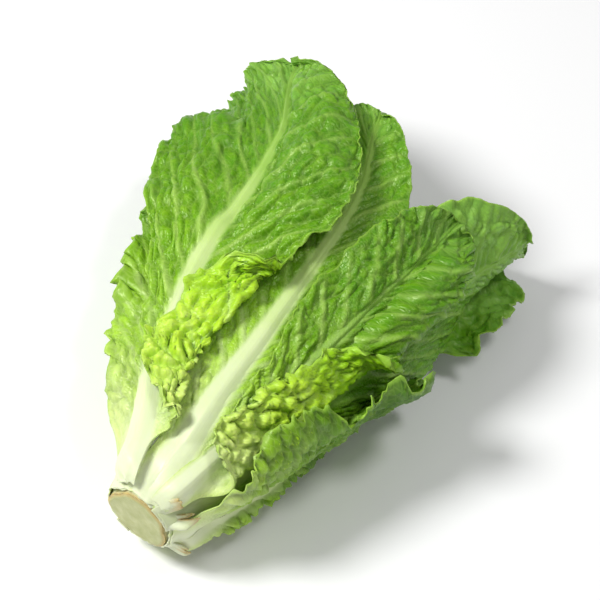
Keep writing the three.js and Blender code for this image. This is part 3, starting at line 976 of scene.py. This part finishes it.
def leaf_bump(m, rib, fine, net, streak):
    """Fine grain on the blade and lengthwise streaks on the rib."""
    grain = m.math("ADD", m.times(m.math("MINIMUM", net, 0.25), 2.2), m.times(fine, 0.8))
    smooth = m.math("SUBTRACT", 1.0, m.times(rib, 0.95))
    height = m.math("ADD", m.times(grain, smooth), m.times(m.times(streak, 0.5), rib))
    return m.add("Bump", {"Height": height, "Strength": 0.5, "Distance": 0.0006})


def leaf_material(name, yellow):
    """Leaf tissue: white ribs and roots, pale veins, blades from yellow green to deep green."""
    m = Nodes(name)
    place = m.add("Attribute", {}, out="Vector", attribute_name="place")
    broad = m.noise(place, 0.035)
    fine = m.noise(place, 0.22, 5.0)
    streak = m.noise(m.scaled(place, (0.03, 0.9, 1)), 1.0, 4.0)
    net = m.add("TexVoronoi", {"Vector": place, "Scale": 0.42, "Randomness": 1.0}, out="Distance",
                feature="DISTANCE_TO_EDGE")
    tone = m.math("ADD", m.number("tone"), m.times(m.math("SUBTRACT", broad, 0.5), 0.35))
    tone = m.math("SUBTRACT", tone, yellow, clamp=True)
    rib = m.number("rib")
    rib_colour = m.blend(m.times(streak, 0.3), m.stops(tone, RIB_STOPS), m.stops(tone, VEIN_STOPS))
    m.set(Base_Color=m.blend(rib, blade_colour(m, tone, fine, net), rib_colour),
          Roughness=m.math("ADD", 0.24, m.times(fine, 0.24)),
          Subsurface_Weight=0.12, Subsurface_Radius=(0.9, 1.0, 0.25), Subsurface_Scale=0.002,
          Specular_IOR_Level=0.42, Specular_Tint=(0.9, 1.0, 0.6, 1),
          Normal=leaf_bump(m, rib, fine, net, streak))
    return m.material


def stem_material():
    """The trunk: a moist pale cut with a browned rim, and a whitish skin."""
    m = Nodes("stem")
    place = m.add("Attribute", {}, out="Vector", attribute_name="place")
    broad = m.noise(place, 0.12, 4.0)
    fine = m.noise(place, 0.8, 5.0)
    cut = m.stops(broad, [(0.3, "a8ae6e"), (0.55, "b8bc84"), (0.8, "cbcd9c")])
    skin = m.stops(broad, [(0.3, "c8d3a2"), (0.7, "dce2c2")])
    colour = m.blend(m.number("cut"), skin, cut)
    rim = m.times(m.number("rim"), m.math("ADD", 0.35, m.times(fine, 0.9)), clamp=True)
    m.set(Base_Color=m.blend(rim, colour, linear("c2a45c")),
          Roughness=m.math("ADD", 0.34, m.times(fine, 0.25)),
          Subsurface_Weight=0.2, Subsurface_Radius=(1.0, 1.0, 0.5), Subsurface_Scale=0.003,
          Normal=m.add("Bump", {"Height": fine, "Strength": 0.35, "Distance": 0.0008}))
    return m.material


# ---- The camera, the floor and the light ----

# Angles in degrees, the distance in metres and the lens in millimetres
CAMERA = dict(azimuth=-58.6, elevation=52.8, roll=6.0, distance=1.376, lens=139.2)
AIM = (0.1237, 0.0118, 0.0192)  # from the middle of the stem's box
FLOOR_HALF = 3.0
FLOOR_GREY = 0.93
# Each light's direction from the object (towards the camera, to its right and upwards), and its
# distance, size and power.
LIGHTS = dict(key=((0.9, -0.75, 0.6), 1.6, 0.5, 24), fill=((0.8, 0.5, 0.6), 1.8, 0.4, 8))
WORLD_LOW, WORLD_HIGH = 0.72, 0.29  # light from low down and from overhead
WORLD_LEVEL = 0.4  # sine of the elevation where the one has turned into the other


def camera_axes():
    azimuth, elevation, roll = (math.radians(CAMERA[k]) for k in ("azimuth", "elevation", "roll"))
    back = Vector((math.sin(azimuth) * math.cos(elevation), -math.cos(azimuth) * math.cos(elevation),
                   math.sin(elevation)))
    right = Vector((0, 0, 1)).cross(back).normalized()
    up = back.cross(right)
    return (right * math.cos(roll) + up * math.sin(roll), up * math.cos(roll) - right * math.sin(roll),
            back)


def aimed(right, up, back, place):
    """A world matrix that looks along -back from a place."""
    matrix = Matrix((right, up, back)).transposed().to_4x4()
    matrix.translation = place
    return matrix


def add_camera():
    right, up, back = camera_axes()
    aim = Vector(STEM_MIDDLE) + Vector(AIM)
    camera = bpy.data.objects.new("camera", bpy.data.cameras.new("camera"))
    camera.data.sensor_width = 36
    camera.data.lens = CAMERA["lens"]
    camera.matrix_world = aimed(right, up, back, aim + back * CAMERA["distance"])
    bpy.context.scene.collection.objects.link(camera)
    bpy.context.scene.camera = camera


def add_light(name, centre, direction, distance, size, power):
    light = bpy.data.lights.new(name, "AREA")
    light.shape = "DISK"
    light.size = size
    light.energy = power
    back = direction.normalized()
    right = Vector((0, 0, 1)).cross(back).normalized()
    lamp = bpy.data.objects.new(name, light)
    lamp.matrix_world = aimed(right, back.cross(right), back, centre + back * distance)
    bpy.context.scene.collection.objects.link(lamp)


def add_floor():
    m = Nodes("floor")
    m.set(Base_Color=(FLOOR_GREY, FLOOR_GREY, FLOOR_GREY, 1), Roughness=0.8)
    mesh = bpy.data.meshes.new("floor")
    corners = [(x * FLOOR_HALF, y * FLOOR_HALF, 0) for x, y in ((-1, -1), (1, -1), (1, 1), (-1, 1))]
    mesh.from_pydata(corners, [], [(0, 1, 2, 3)])
    floor = bpy.data.objects.new("floor", mesh)
    mesh.materials.append(m.material)
    bpy.context.scene.collection.objects.link(floor)


def add_world():
    """A studio that is bright low down all round, and dimmer overhead."""
    world = bpy.data.worlds.new("studio")
    world.use_nodes = True
    tree = world.node_tree
    place = tree.nodes.new("ShaderNodeTexCoord")
    parts = tree.nodes.new("ShaderNodeSeparateXYZ")
    level = tree.nodes.new("ShaderNodeMapRange")
    level.inputs["From Max"].default_value = WORLD_LEVEL
    level.inputs["To Min"].default_value = WORLD_LOW
    level.inputs["To Max"].default_value = WORLD_HIGH
    tree.links.new(place.outputs["Generated"], parts.inputs[0])
    tree.links.new(parts.outputs["Z"], level.inputs["Value"])
    background = tree.nodes["Background"]
    background.inputs["Color"].default_value = (1, 1, 1, 1)
    tree.links.new(level.outputs["Result"], background.inputs["Strength"])
    bpy.context.scene.world = world
    bpy.context.scene.view_settings.view_transform = "Standard"


def light_scene(centre):
    right, up, back = camera_axes()
    for name, (direction, distance, size, power) in LIGHTS.items():
        towards = back * direction[0] + right * direction[1] + up * direction[2]
        add_light(name, centre, towards, distance, size, power)
    add_world()


# ---- The scene ----

SPACING = dict(outer=1.1, under=1.7, heart=2.0)  # of the points on the leaves
HEART_YELLOW = 0.42  # how much yellower the heart's leaves are


def spacing_of(part):
    if part["heart"]:
        return SPACING["heart"]
    return SPACING["under" if part["name"].startswith("under") else "outer"]


def main():
    centre = Vector([(a + b) / 2 for a, b in zip(*CAD_BOX)])
    add_camera()
    light_scene(centre)
    add_floor()
    outer, heart = leaf_material("outer_leaf", 0.0), leaf_material("heart_leaf", HEART_YELLOW)
    trunk = stem_material()
    build_stem(trunk)
    found, laid = lay_all()
    build_scales(trunk, laid)
    for entry in found:
        part = entry["part"]
        build_leaf(entry, spacing_of(part), heart if part["heart"] else outer)


main()
